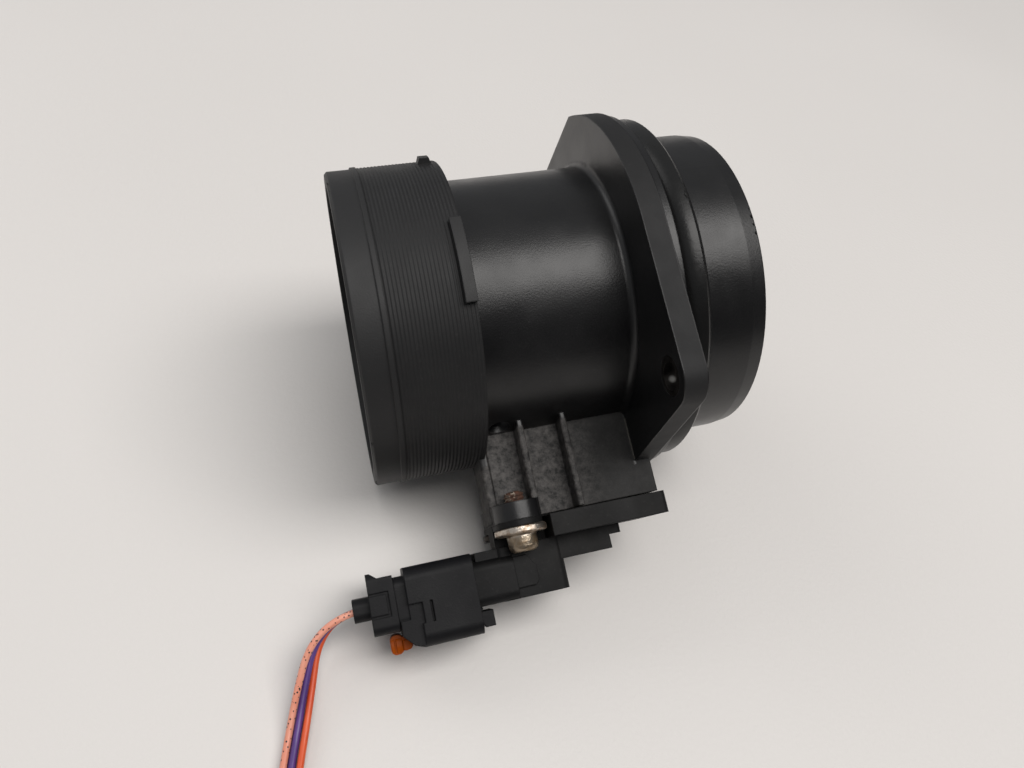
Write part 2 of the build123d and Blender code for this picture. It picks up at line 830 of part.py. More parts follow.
# Plug shell: skirt over the socket, latch tunnel and the latch with its tip
with BuildPart() as plug_shell:
    with BuildSketch(facing_at(plug_end)):
        with Locations(((plug_inner_r + plug_outer_r) / 2, 0)):
            RectangleRounded(plug_outer_r - plug_inner_r, 2 * plug_half_width, plug_corner)
    extrude(amount=plug_length)
    with BuildSketch(facing_at(plug_start)):
        with Locations((connector_r, 0)):
            RectangleRounded(2 * plug_tail_half_r, 2 * skirt_half_width, shroud_corner)
    extrude(amount=plug_tail)
    with BuildSketch(facing_at(plug_end)):
        with Locations((connector_r, 0)):
            RectangleRounded(2 * skirt_half_r, 2 * skirt_half_width, shroud_corner + plug_clearance)
    extrude(amount=plug_end - skirt_bottom, mode=Mode.SUBTRACT)
    with BuildSketch(facing_at(skirt_bottom)):
        with Locations((connector_r, 0)):
            Rectangle(2 * (seat_half_r + seat_clearance), 2 * (seat_half_width + seat_clearance))
    extrude(amount=skirt_bottom - plug_back, mode=Mode.SUBTRACT)
    tunnel_floor_r = connector_r + skirt_half_r
    with BuildSketch(facing_at(plug_end)):
        with Locations(((tunnel_floor_r + tunnel_top_r) / 2, 0)):
            Rectangle(tunnel_top_r - tunnel_floor_r, 2 * tunnel_half_width)
    extrude(amount=plug_length, mode=Mode.SUBTRACT)
    # Stepped side faces at the rear, each with a small rib, and cheeks that guide the lock
    rib_place = plug_start + step_long - step_rib_gap - step_rib_width / 2
    for face in (1, -1):
        with BuildSketch(side.offset(face * (plug_half_width - step_depth))):
            with BuildLine():
                Polyline(
                    (step_inner_r, plug_start),
                    (step_inner_r, plug_start + step_long),
                    (step_middle_r, plug_start + step_long),
                    (step_middle_r, plug_start + step_short),
                    (plug_outer_r, plug_start + step_short),
                    (plug_outer_r, plug_start),
                    close=True,
                )
            make_face()
            with Locations(((step_inner_r + step_middle_r) / 2, rib_place)):
                Rectangle(step_middle_r - step_inner_r, step_rib_width, mode=Mode.SUBTRACT)
        extrude(amount=face * step_depth, mode=Mode.SUBTRACT)
        with BuildSketch(side.offset(face * (lock_half_width + lock_gap))):
            with BuildLine():
                Polyline(
                    (cheek_inner_r, plug_start - cheek_reach),
                    (cheek_inner_r, plug_start),
                    (cheek_outer_r, plug_start),
                    (cheek_corner_r, plug_start - cheek_reach),
                    close=True,
                )
            make_face()
        extrude(amount=face * (plug_half_width - step_depth - lock_half_width - lock_gap))
    # Sloping heel under the lock
    with BuildSketch(side):
        with BuildLine():
            Polyline(
                (cheek_outer_r, plug_start),
                (plug_outer_r, plug_start + plug_heel),
                (plug_outer_r, plug_start),
                close=True,
            )
        make_face()
    extrude(amount=plug_half_width, both=True, mode=Mode.SUBTRACT)
    # Latch arm on its bridge, with the tip that is pressed and the hook behind the catch
    with BuildSketch(facing_at(plug_end + latch_tip_length)):
        with Locations((latch_r + latch_thickness / 2, 0)):
            Rectangle(latch_thickness, 2 * latch_half_width)
    extrude(amount=plug_length + latch_tip_length - latch_bridge)
    with BuildSketch(facing_at((plug_start + plug_end + latch_bridge) / 2)):
        with Locations((latch_r + latch_thickness / 2, 0)):
            Rectangle(latch_thickness, 2 * (tunnel_half_width + plug_wall))
    extrude(amount=latch_bridge)
    tip_floor_r = shroud_outer_r + plug_clearance
    tip_start = plug_end + plug_clearance
    tip_end = plug_end + latch_tip_length
    tip_r = latch_r + latch_tip_height
    with BuildSketch(side):
        with BuildLine():
            Polyline(
                (latch_r, tip_start),
                (latch_r, tip_end),
                (tip_r, tip_end),
                (tip_r, tip_start + latch_tip_cut),
                (tip_r - latch_tip_slope, tip_start),
                close=True,
            )
        make_face()
    extrude(amount=latch_half_width, both=True)
    with BuildSketch(facing_at(tip_start + latch_hook_length)):
        with Locations(((tip_floor_r + latch_r) / 2, 0)):
            Rectangle(latch_r - tip_floor_r, catch_width)
    extrude(amount=latch_hook_length)
write_step(plug_shell.part, "plug_shell")

# Plug core: carries the contacts into the socket
with BuildPart() as plug_core:
    with BuildSketch(facing_at(core_front)):
        with Locations((connector_r, 0)):
            RectangleRounded(2 * core_half_r, 2 * core_half_width, shroud_corner - shroud_wall)
    extrude(amount=core_nose_length)
    with BuildSketch(facing_at(core_shoulder)):
        with Locations((connector_r, 0)):
            Rectangle(2 * seat_half_r, 2 * seat_half_width)
    extrude(amount=core_shoulder - plug_start)
    cavity = contact_size + 2 * contact_clearance
    with BuildSketch(facing_at(contact_front)):
        for row in pin_rows:
            with Locations((connector_r, row)):
                Rectangle(cavity, cavity)
    extrude(amount=contact_front - plug_start, mode=Mode.SUBTRACT)
    with BuildSketch(facing_at(core_front)):
        for row in pin_rows:
            with Locations((connector_r, row)):
                Rectangle(pin_size + 2 * pin_clearance, pin_size + 2 * pin_clearance)
    extrude(amount=core_front - contact_front, mode=Mode.SUBTRACT)
write_step(plug_core.part, "plug_core")

# Seal between the core and the socket
with BuildPart() as plug_seal:
    with BuildSketch(facing_at(core_shoulder - seal_fit)):
        with Locations((connector_r, 0)):
            RectangleRounded(
                2 * (shroud_half_r - shroud_wall - seal_fit),
                2 * (shroud_half_width - shroud_wall - seal_fit),
                shroud_corner - shroud_wall,
            )
            Rectangle(2 * (seat_half_r + seal_fit), 2 * (seat_half_width + seal_fit), mode=Mode.SUBTRACT)
    extrude(amount=core_seat_length)
write_step(plug_seal.part, "plug_seal")

# Contacts: spring boxes over the pins, with the wires crimped in their tails
with BuildPart() as plug_contacts:
    with BuildSketch(facing_at(contact_front)):
        for row in pin_rows:
            with Locations((connector_r, row)):
                Rectangle(contact_size, contact_size)
                Rectangle(pin_size + 2 * pin_clearance, pin_size + 2 * pin_clearance, mode=Mode.SUBTRACT)
    extrude(amount=contact_length)
    with BuildSketch(facing_at(contact_front - contact_length)):
        for row in pin_rows:
            with Locations((connector_r, row)):
                Circle(wire_r - wire_clearance)
    extrude(amount=contact_front - contact_length - wire_begin)
write_step(plug_contacts.part, "plug_contacts")

# Rubber mat seal behind the core, with one hole for each wire
with BuildPart() as wire_seal:
    with BuildSketch(facing_at(plug_start - seat_clearance)):
        with Locations((connector_r, 0)):
            Rectangle(2 * seat_half_r, 2 * seat_half_width)
        for row in pin_rows:
            with Locations((connector_r, row)):
                Circle(wire_r, mode=Mode.SUBTRACT)
    extrude(amount=plug_tail - 2 * seat_clearance)
write_step(wire_seal.part, "wire_seal")

# Rear cover with the neck that the wires leave through
with BuildPart() as rear_cover:
    with BuildSketch(facing_at(cover_front)):
        with Locations(((back_cover_inner_r + back_cover_outer_r) / 2, 0)):
            RectangleRounded(
                back_cover_outer_r - back_cover_inner_r, 2 * back_cover_half_width, back_cover_corner
            )
    extrude(amount=back_cover_length)
    # Saddle between the rear horn and the front edge, and a groove round the panel on each side
    with BuildSketch(side):
        with BuildLine():
            Polyline(
                (back_cover_inner_r, cover_front),
                (back_cover_inner_r + saddle_depth, cover_front),
                (back_cover_inner_r + saddle_depth, cover_back + horn_length + saddle_run),
                (back_cover_inner_r, cover_back + horn_length),
                close=True,
            )
        make_face()
    extrude(amount=back_cover_half_width, both=True, mode=Mode.SUBTRACT)
    frame_middle_r = (frame_inner_r + frame_outer_r) / 2
    frame_height = frame_outer_r - frame_inner_r
    for face in (1, -1):
        with BuildSketch(side.offset(face * (back_cover_half_width - frame_depth))):
            with Locations((frame_middle_r, cover_back + frame_length / 2)):
                Rectangle(frame_height, frame_length)
            with Locations((frame_middle_r, cover_back + (frame_length - frame_groove) / 2)):
                Rectangle(frame_height - 2 * frame_groove, frame_length - frame_groove, mode=Mode.SUBTRACT)
        extrude(amount=face * frame_depth, mode=Mode.SUBTRACT)
    with BuildSketch(facing_at(cover_back)):
        with Locations((connector_r, 0)):
            RectangleRounded(2 * neck_out_half_r, 2 * neck_out_half_width, back_cover_corner)
    extrude(amount=neck_out_length)
    with BuildSketch(facing_at(cover_front)):
        for row in pin_rows:
            with Locations((connector_r, row)):
                Circle(wire_hole_r)
    extrude(amount=cover_front - wire_exit, mode=Mode.SUBTRACT)
write_step(rear_cover.part, "rear_cover")

# Lock: a sliding tongue over the latch, with a rounded knob behind the shell
with BuildPart() as lock_clip:
    tongue_low_r = latch_r + latch_thickness + lock_gap
    tongue_high_r = tunnel_top_r - lock_gap
    handle_front = plug_start - lock_gap
    handle_back = handle_front - lock_handle_length
    knob_middle = handle_back + lock_knob_length / 2
    with BuildSketch(side):
        with BuildLine():
            Polyline(
                (lock_neck_inner_r, knob_middle),
                (lock_neck_outer_r - lock_neck_taper, knob_middle),
                (lock_neck_outer_r, handle_front),
                (tongue_high_r, handle_front),
                (tongue_high_r, handle_front + lock_tongue_length),
                (tongue_low_r, handle_front + lock_tongue_length),
                (tongue_low_r, handle_front),
                (lock_neck_inner_r, handle_front),
                close=True,
            )
        make_face()
        with Locations(((lock_knob_inner_r + lock_knob_outer_r) / 2, knob_middle)):
            RectangleRounded(lock_knob_outer_r - lock_knob_inner_r, lock_knob_length, lock_knob_round)
    extrude(amount=lock_half_width, both=True)
write_step(lock_clip.part, "lock_clip")

# Wires: out of the plug in a row, then down on to the table in a bundle of two layers
route = [
    (-89.9, -67.4, -30.2),
    (-93.4, -76.6, -34.0),
    (-96.1, -85.0, -35.9),
    (-98.0, -92.0, -35.8),
    (-99.6, -99.0, -35.5),
    (-100.9, -105.6, -35.3),
]
row_share = [1.0, 0.45, 0.0, 0.0, 0.0, 0.0]
lane_share = [0.5, 0.9, 1.0, 1.0, 1.0, 1.0]
lanes = [
    (lane_side / 2, 0.0),
    (-lane_side / 2, 0.0),
    (lane_side, lane_lift),
    (0.0, lane_lift),
    (-lane_side, lane_lift),
]


def wire_points(row, lane):
    """Route points of one wire: its place in the row at the plug, shared out into its lane on the table."""
    straight = [
        module.from_local_coords(Vector(place, row, connector_r))
        for place in (wire_begin, wire_exit - lead_out)
    ]
    lane_offset = Vector(lane[0], 0, lane[1])
    bent = [
        Vector(*point) + across * (row * in_row) + lane_offset * in_lane
        for point, in_row, in_lane in zip(route, row_share, lane_share)
    ]
    return straight + bent


def bend_radii(points):
    """Bend radius at each inner point: as large as its two runs allow."""
    radii = []
    for before, here, after in zip(points, points[1:], points[2:]):
        turn = (here - before).get_angle(after - here)
        shorter = min((here - before).length, (after - here).length)
        radii.append(bend_share * shorter / tan(radians(turn / 2)))
    return radii


for number, (row, lane) in enumerate(zip(pin_rows, lanes), start=1):
    points = wire_points(row, lane)
    radii = bend_radii(points)
    with BuildPart() as wire:
        with BuildLine():
            path = FilletPolyline(*points, radius=radii)
        with BuildSketch(Plane(origin=path @ 0, z_dir=path % 0)):
            Circle(wire_r)
        sweep()
    name = f"wire_{number}"
    print(name, "radii", [round(radius, 1) for radius in radii], "length", round(path.length, 1))
    write_step(wire.part, name)
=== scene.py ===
import math

import bmesh
import bpy
from mathutils import Matrix, Vector


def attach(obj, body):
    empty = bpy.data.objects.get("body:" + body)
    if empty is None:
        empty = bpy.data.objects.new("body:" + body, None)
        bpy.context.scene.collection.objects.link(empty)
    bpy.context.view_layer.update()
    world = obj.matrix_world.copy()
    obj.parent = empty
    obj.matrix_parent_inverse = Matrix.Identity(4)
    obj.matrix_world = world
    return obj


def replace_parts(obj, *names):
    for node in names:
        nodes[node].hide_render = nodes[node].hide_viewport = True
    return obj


# Looks of the mass airflow sensor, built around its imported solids. Metres, in the solids' own frame.

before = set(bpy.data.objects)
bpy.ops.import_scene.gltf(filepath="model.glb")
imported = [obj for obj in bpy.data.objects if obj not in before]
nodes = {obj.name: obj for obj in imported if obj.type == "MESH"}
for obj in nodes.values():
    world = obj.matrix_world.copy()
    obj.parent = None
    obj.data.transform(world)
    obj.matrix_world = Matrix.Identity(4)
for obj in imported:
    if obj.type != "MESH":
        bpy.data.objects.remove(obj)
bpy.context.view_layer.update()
scene = bpy.context.scene
MM = 0.001
BODY = "sensor"
LOCK = "lock"

# Sizes repeated from the part's source, in millimetres
COLLAR_START = -70.0
COLLAR_END = -43.1
COLLAR_R = 40.0
FLANGE_NEAR = -5.5
FLANGE_R = 47.7
SCREW_X = -38.7
SCREW_ACROSS = 10.5
SCREW_R = 2.5
SCREW_TIP_R = 49.1
TAB_TOP_R = 57.4
WASHER_R = 6.3
WASHER_THICKNESS = 1.9
HEAD_R = 3.6
HEAD_HEIGHT = 4.1
LUG_R = 5.6
LUG_START_R = 51.7

# Module directions, as in the part's source: radial from the tube's axis into the box, across square to it
ROLL = math.radians(23.9)
RADIAL = Vector((0, -math.cos(ROLL), -math.sin(ROLL)))
ACROSS = Vector((0, -math.sin(ROLL), math.cos(ROLL)))
ALONG = Vector((1, 0, 0))


def place(x, across, radial):
    """Point in the frame from millimetres along the tube, across the module and out from the tube's axis."""
    return (ALONG * x + ACROSS * across + RADIAL * radial) * MM


# Camera at the photograph's angle
CAMERA_PLACE = (-0.073406, -0.135626, 0.150279)
CAMERA_RIGHT = (0.964047, -0.256519, 0.069358)
CAMERA_UP = (0.161734, 0.773516, 0.612792)
CAMERA_BACK = (-0.210843, -0.579543, 0.787194)
camera_data = bpy.data.cameras.new("camera")
camera_data.sensor_fit = "HORIZONTAL"
camera_data.sensor_width = 36.0
camera_data.lens = 26.932
camera = bpy.data.objects.new("camera", camera_data)
scene.collection.objects.link(camera)
camera_turn = Matrix((CAMERA_RIGHT, CAMERA_UP, CAMERA_BACK)).transposed()
camera.matrix_world = Matrix.Translation(CAMERA_PLACE) @ camera_turn.to_4x4()
scene.camera = camera


# Node helpers
def new_material(name):
    """Empty node material with its shader."""
    material = bpy.data.materials.new(name)
    material.use_nodes = True
    return material, material.node_tree, material.node_tree.nodes["Principled BSDF"]


def add(tree, kind, inputs=(), **settings):
    """Add one node: settings are its properties, inputs are pairs of socket and value or linked socket."""
    node = tree.nodes.new(kind)
    for key, value in settings.items():
        setattr(node, key, value)
    for socket, value in inputs:
        if isinstance(value, bpy.types.NodeSocket):
            tree.links.new(value, node.inputs[socket])
        else:
            node.inputs[socket].default_value = value
    return node


def noise(tree, where, scale, detail=3.0, rough=0.55):
    """Noise value from 0 to 1 at a scale in cycles per metre."""
    inputs = [("Vector", where), ("Scale", scale), ("Detail", detail), ("Roughness", rough)]
    return add(tree, "ShaderNodeTexNoise", inputs).outputs["Fac"]


def span(tree, value, low, high, to_low=0.0, to_high=1.0):
    """Map one range of a value on to another, clamped."""
    inputs = [("Value", value), ("From Min", low), ("From Max", high), ("To Min", to_low), ("To Max", to_high)]
    return add(tree, "ShaderNodeMapRange", inputs).outputs["Result"]


def zone(tree, distance, fade):
    """Mask that goes from 0 to 1 between two distances in millimetres."""
    return span(tree, distance, fade[0] * MM, fade[1] * MM)


def opposite(tree, mask):
    """Mask that is 1 where the other is 0."""
    return span(tree, mask, 0.0, 1.0, 1.0, 0.0)


def calc(tree, operation, first, second=0.0):
    """One arithmetic step."""
    return add(tree, "ShaderNodeMath", [(0, first), (1, second)], operation=operation).outputs["Value"]


def every(tree, mask, *others):
    """Mask that is 1 only where all of the given masks are."""
    for other in others:
        mask = calc(tree, "MULTIPLY", mask, other)
    return mask


def vector_calc(tree, operation, first, second=(0, 0, 0), output="Value"):
    """One step with vectors."""
    return add(tree, "ShaderNodeVectorMath", [(0, first), (1, second)], operation=operation).outputs[output]


def distance_along(tree, where, direction):
    """Distance in metres along one direction."""
    return vector_calc(tree, "DOT_PRODUCT", where, direction)


def blend(tree, amount, first, second):
    """Mix two colours."""
    node = add(tree, "ShaderNodeMix", [("Factor", amount)], data_type="RGBA")
    colour_sockets = [socket for socket in node.inputs if socket.type == "RGBA"]
    for socket, value in zip(colour_sockets, (first, second)):
        if isinstance(value, bpy.types.NodeSocket):
            tree.links.new(value, socket)
        else:
            socket.default_value = (*value, 1.0)
    return next(socket for socket in node.outputs if socket.type == "RGBA")


def coordinates(tree):
    """The piece's own coordinates in metres."""
    return add(tree, "ShaderNodeTexCoord").outputs["Object"]


def grain_normal(tree, shader, height, depth, edge):
    """Rounded edges under a fine surface grain, both in millimetres."""
    rounded = add(tree, "ShaderNodeBevel", [("Radius", edge * MM)], samples=6).outputs["Normal"]
    inputs = [("Strength", 1.0), ("Distance", depth * MM), ("Height", height), ("Normal", rounded)]
    tree.links.new(add(tree, "ShaderNodeBump", inputs).outputs["Normal"], shader.inputs["Normal"])


# Materials. The middle part of a noise's values is the part that is used for clouds.
MIDDLE = (0.3, 0.7)
DUST = (0.17, 0.16, 0.155)
GRAIN_DEPTH = 0.03
GLOSS_CHANGE = 0.06


def moulded(name, dark, light, rough, dust=0.0, shine=0.25, grain=2600.0, edge=0.35):
    """Moulded plastic or rubber: cloudy colour, uneven gloss, fine grain and a little dust."""
    material, tree, shader = new_material(name)
    where = coordinates(tree)
    colour = blend(tree, span(tree, noise(tree, where, 55.0, 4.0), *MIDDLE), dark, light)
    speck = span(tree, noise(tree, where, 900.0, 5.0, 0.7), 0.56, 0.78, 0.0, dust)
    tree.links.new(blend(tree, speck, colour, DUST), shader.inputs["Base Color"])
    gloss = span(tree, noise(tree, where, 120.0, 5.0), *MIDDLE, rough - GLOSS_CHANGE, rough + GLOSS_CHANGE)
    tree.links.new(gloss, shader.inputs["Roughness"])
    shader.inputs["Specular IOR Level"].default_value = shine
    grain_normal(tree, shader, noise(tree, where, grain, 2.0), GRAIN_DEPTH, edge)
    return material


# Zones of the housing, in millimetres: where each one starts and where it is full
BOX_OUT = (33.5, 34.5)
BOX_BESIDE = (14.5, 13.5)
SHORT_OF_FLANGE = (FLANGE_NEAR - 0.2, FLANGE_NEAR - 0.6)
PAST_FLANGE_RIM = (47.8, 48.2)
CLEAR_OF_COLLAR = (COLLAR_END + 0.2, COLLAR_END + 0.4)
PAST_COLLAR_WALL = (41.2, 41.6)
ON_COLLAR = (COLLAR_END + 0.2, COLLAR_END - 0.2)
NEAR_SCREW = (LUG_R + 0.15, LUG_R + 0.05)
LUG_OUT = (LUG_START_R - 0.2, LUG_START_R - 0.1)
RIM_OUT = (42.5, 43.5)
RIM_FROM = (-5.4, -5.2)
RIM_TO = (-0.1, -0.3)
# Painted shade from the flange on the box panels: deepest at the first x, gone at the second
PANEL_SHADE_DEEPEST = -14.0
PANEL_SHADE_END = -25.0

# How much rougher than the tube the matte zones are
COLLAR_MATTE = 0.23
PANEL_MATTE = 0.35
RIM_MATTE = 0.35


def housing_material():
    """Satin black moulding: glossy tube and spigot, matte collar and flange rim, dusty mottled panels on the box
    that painted shade darkens towards the flange.
    """
    material, tree, shader = new_material("housing_black")
    where = coordinates(tree)
    x = distance_along(tree, where, ALONG)
    out = distance_along(tree, where, RADIAL)
    beside = calc(tree, "ABSOLUTE", distance_along(tree, where, ACROSS))
    off_flange = calc(tree, "MAXIMUM", zone(tree, x, SHORT_OF_FLANGE), zone(tree, out, PAST_FLANGE_RIM))
    off_collar = calc(tree, "MAXIMUM", zone(tree, x, CLEAR_OF_COLLAR), zone(tree, out, PAST_COLLAR_WALL))
    on_box = every(tree, zone(tree, out, BOX_OUT), zone(tree, beside, BOX_BESIDE), off_flange, off_collar)
    on_collar = every(tree, zone(tree, x, ON_COLLAR), opposite(tree, on_box))
    aside_x = calc(tree, "POWER", calc(tree, "SUBTRACT", x, SCREW_X * MM), 2.0)
    aside_across = calc(tree, "POWER", calc(tree, "SUBTRACT", beside, SCREW_ACROSS * MM), 2.0)
    from_screw = calc(tree, "SQRT", calc(tree, "ADD", aside_x, aside_across))
    on_lug = every(tree, zone(tree, from_screw, NEAR_SCREW), zone(tree, out, LUG_OUT))
    on_panel = every(tree, on_box, opposite(tree, on_lug))
    from_axis = vector_calc(tree, "LENGTH", vector_calc(tree, "CROSS_PRODUCT", where, ALONG, output="Vector"))
    on_rim = every(tree, zone(tree, x, RIM_FROM), zone(tree, x, RIM_TO), zone(tree, from_axis, RIM_OUT),
                   opposite(tree, on_box))
    cloud = span(tree, noise(tree, where, 60.0, 4.0), *MIDDLE)
    colour = blend(tree, cloud, (0.0045, 0.0045, 0.005), (0.008, 0.008, 0.0085))
    colour = blend(tree, on_collar, colour, (0.01, 0.01, 0.0105))
    mottle = span(tree, noise(tree, where, 520.0, 6.0, 0.78), 0.38, 0.62)
    # Painted shade: the panels' real mottled dust fades to a tenth towards the flange, standing in for the flange's
    # shadow
    mottle_and_shade = calc(tree, "MULTIPLY", mottle, span(tree, x, PANEL_SHADE_DEEPEST * MM, PANEL_SHADE_END * MM, 0.1, 1.0))
    panel = blend(tree, mottle_and_shade, (0.006, 0.0058, 0.0055), (0.085, 0.079, 0.075))
    colour = blend(tree, on_panel, colour, panel)
    speck = span(tree, noise(tree, where, 1100.0, 5.0, 0.7), 0.6, 0.8, 0.0, 0.07)
    tree.links.new(blend(tree, speck, colour, DUST), shader.inputs["Base Color"])
    gloss = span(tree, noise(tree, where, 140.0, 5.0), *MIDDLE, 0.29, 0.37)
    for mask, matte in ((on_collar, COLLAR_MATTE), (on_panel, PANEL_MATTE), (on_rim, RIM_MATTE)):
        gloss = calc(tree, "ADD", gloss, calc(tree, "MULTIPLY", mask, matte))
    tree.links.new(gloss, shader.inputs["Roughness"])
    shader.inputs["Specular IOR Level"].default_value = 0.42
    grain_normal(tree, shader, noise(tree, where, 2400.0, 2.0), GRAIN_DEPTH, 0.4)
    return material


METAL_EDGE = 0.2
METAL_CLOUDS = (0.4, 0.66)
METAL_GRAIN_DEPTH = 0.05
# Painted glint inside the near flange sleeve: its centre in millimetres, then the distances where it starts and
# where it is full
PAINTED_GLINT_SPOT = (-3.75, -46.15, 20.75)
PAINTED_GLINT_FADE = (1.0, 0.4)
HEAD_FADE = (59.2, 60.2)
HEAD_TARNISH = 0.7
FAR_SIDE = (1.0, -1.0)


def metal_clouds(tree, where):
    """Cloudy tarnish on bare metal."""
    return span(tree, noise(tree, where, 420.0, 5.0, 0.65), *METAL_CLOUDS)


def contact_material():
    """Tin plating with cloudy tarnish."""
    material, tree, shader = new_material("contact_tin")
    where = coordinates(tree)
    cloud = metal_clouds(tree, where)
    tree.links.new(blend(tree, cloud, (0.72, 0.68, 0.55), (0.55, 0.5, 0.38)), shader.inputs["Base Color"])
    tree.links.new(span(tree, cloud, 0.0, 1.0, 0.25, 0.4), shader.inputs["Roughness"])
    shader.inputs["Metallic"].default_value = 1.0
    grain_normal(tree, shader, noise(tree, where, 1800.0, 3.0), METAL_GRAIN_DEPTH, METAL_EDGE)
    return material


def bush_material():
    """Blackened steel sleeves, with one pale painted glint on the inner wall of the near one."""
    material, tree, shader = new_material("bush_steel")
    where = coordinates(tree)
    colour = blend(tree, metal_clouds(tree, where), (0.03, 0.028, 0.026), (0.01, 0.0095, 0.009))
    # Painted highlight: a pale, matte, non-metal patch on the sleeve's inner wall stands in for a glint
    painted_glint = zone(tree, vector_calc(tree, "DISTANCE", where, Vector(PAINTED_GLINT_SPOT) * MM), PAINTED_GLINT_FADE)
    tree.links.new(blend(tree, painted_glint, colour, (0.2, 0.2, 0.19)), shader.inputs["Base Color"])
    tree.links.new(span(tree, painted_glint, 0.0, 1.0, 0.55, 0.7), shader.inputs["Roughness"])
    tree.links.new(opposite(tree, painted_glint), shader.inputs["Metallic"])
    grain_normal(tree, shader, noise(tree, where, 1800.0, 3.0), METAL_GRAIN_DEPTH, METAL_EDGE)
    return material


def screw_material():
    """Worn plating gone brown in patches and on the head; the screw at the far side is coloured near black all over.
    """
    material, tree, shader = new_material("screw_steel")
    where = coordinates(tree)
    tarnish = span(tree, noise(tree, where, 480.0, 5.0, 0.7), 0.42, 0.68)
    colour = blend(tree, tarnish, (0.6, 0.54, 0.47), (0.26, 0.16, 0.085))
    on_head = calc(tree, "MULTIPLY", zone(tree, distance_along(tree, where, RADIAL), HEAD_FADE), HEAD_TARNISH)
    colour = blend(tree, on_head, colour, (0.2, 0.15, 0.09))
    far = zone(tree, distance_along(tree, where, ACROSS), FAR_SIDE)
    tree.links.new(blend(tree, far, colour, (0.03, 0.024, 0.02)), shader.inputs["Base Color"])
    tree.links.new(span(tree, tarnish, 0.0, 1.0, 0.3, 0.55), shader.inputs["Roughness"])
    shader.inputs["Metallic"].default_value = 1.0
    grain_normal(tree, shader, noise(tree, where, 1500.0, 4.0), 0.14, METAL_EDGE)
    return material


def rust_material():
    """Rusty thread: dark crust with red-brown bloom and a few bare glints."""
    material, tree, shader = new_material("thread_rust")
    where = coordinates(tree)
    bloom = span(tree, noise(tree, where, 900.0, 5.0, 0.7), 0.35, 0.65)
    colour = blend(tree, bloom, (0.03, 0.016, 0.01), (0.11, 0.045, 0.026))
    bare = span(tree, noise(tree, where, 700.0, 4.0), 0.56, 0.62)
    tree.links.new(blend(tree, bare, colour, (0.4, 0.33, 0.27)), shader.inputs["Base Color"])
    tree.links.new(span(tree, bare, 0.0, 1.0, 0.8, 0.45), shader.inputs["Roughness"])
    tree.links.new(bare, shader.inputs["Metallic"])
    grain_normal(tree, shader, noise(tree, where, 2500.0, 4.0), 0.08, 0.1)
    return material


def wire_material(name, dark, light, dots):
    """Glossy wire insulation, with dark ink dots on the marked wire."""
    material, tree, shader = new_material(name)
    where = coordinates(tree)
    colour = blend(tree, span(tree, noise(tree, where, 160.0, 4.0), 0.35, 0.65), dark, light)
    if dots:
        cell = add(tree, "ShaderNodeTexVoronoi", [("Vector", where), ("Scale", 1250.0), ("Randomness", 0.9)])
        ink = span(tree, cell.outputs["Distance"], 0.22, 0.3, 1.0, 0.0)
        colour = blend(tree, ink, colour, (0.02, 0.01, 0.012))
    tree.links.new(colour, shader.inputs["Base Color"])
    tree.links.new(span(tree, noise(tree, where, 300.0), *MIDDLE, 0.32, 0.45), shader.inputs["Roughness"])
    return material


housing_black = housing_material()
collar_black = moulded("collar_black", (0.008, 0.008, 0.0085), (0.012, 0.012, 0.0125), 0.56, 0.05, 0.34, edge=0.05)
module_black = moulded("module_black", (0.0045, 0.0045, 0.005), (0.0075, 0.0073, 0.007), 0.55, 0.08, 0.16)
plug_black = moulded("plug_black", (0.0045, 0.0045, 0.0055), (0.008, 0.008, 0.009), 0.5, 0.05, 0.16)
rubber_black = moulded("rubber_black", (0.005, 0.005, 0.005), (0.008, 0.008, 0.008), 0.3, shine=0.3, grain=1500.0,
                       edge=0.2)
silicone_blue = moulded("silicone_blue", (0.05, 0.12, 0.33), (0.07, 0.15, 0.38), 0.45)
board_green = moulded("board_green", (0.01, 0.09, 0.04), (0.015, 0.11, 0.05), 0.42)
element_pale = moulded("element_pale", (0.6, 0.6, 0.57), (0.68, 0.68, 0.65), 0.3)
lock_orange = moulded("lock_orange", (0.24, 0.036, 0.001), (0.36, 0.07, 0.002), 0.36, shine=0.1, edge=0.15)
# Pale grey for the corner strip: a painted highlight along the fillet between box and flange
fillet_highlight_grey = moulded("fillet_highlight_grey", (0.07, 0.066, 0.058), (0.11, 0.104, 0.092), 0.6)
bush_steel = bush_material()
screw_steel = screw_material()
contact_tin = contact_material()
thread_rust = rust_material()

# The solids' own finish
for node, material in {
    "housing": housing_black, "flange_bushes": bush_steel, "spigot_seal": rubber_black, "flow_grid": module_black,
    "sensor_carrier": module_black, "carrier_seal": rubber_black, "bypass_cover": module_black,
    "board_lid": module_black, "circuit_board": board_green, "sensing_element": element_pale,
    "air_temp_probe": element_pale, "terminal_pins": contact_tin, "module_screws": screw_steel,
    "plug_shell": plug_black, "plug_core": plug_black, "plug_seal": silicone_blue, "plug_contacts": contact_tin,
    "wire_seal": silicone_blue, "rear_cover": plug_black, "lock_clip": lock_orange,
}.items():
    nodes[node].data.materials.clear()
    nodes[node].data.materials.append(material)

# Piece helpers
WELD = 1e-7
SHARP = math.radians(40)


def finish_piece(name, shape, material, body=BODY):
    """Turn a bmesh into a smooth piece that rides on one body."""
    bmesh.ops.remove_doubles(shape, verts=shape.verts, dist=WELD)
    bmesh.ops.recalc_face_normals(shape, faces=shape.faces)
    for face in shape.faces:
        face.smooth = True
    for edge in shape.edges:
        edge.smooth = len(edge.link_faces) != 2 or edge.calc_face_angle() < SHARP
    data = bpy.data.meshes.new(name)
    shape.to_mesh(data)
    shape.free()
    piece = bpy.data.objects.new(name, data)
    scene.collection.objects.link(piece)
    data.materials.append(material)
    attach(piece, body)
    return piece


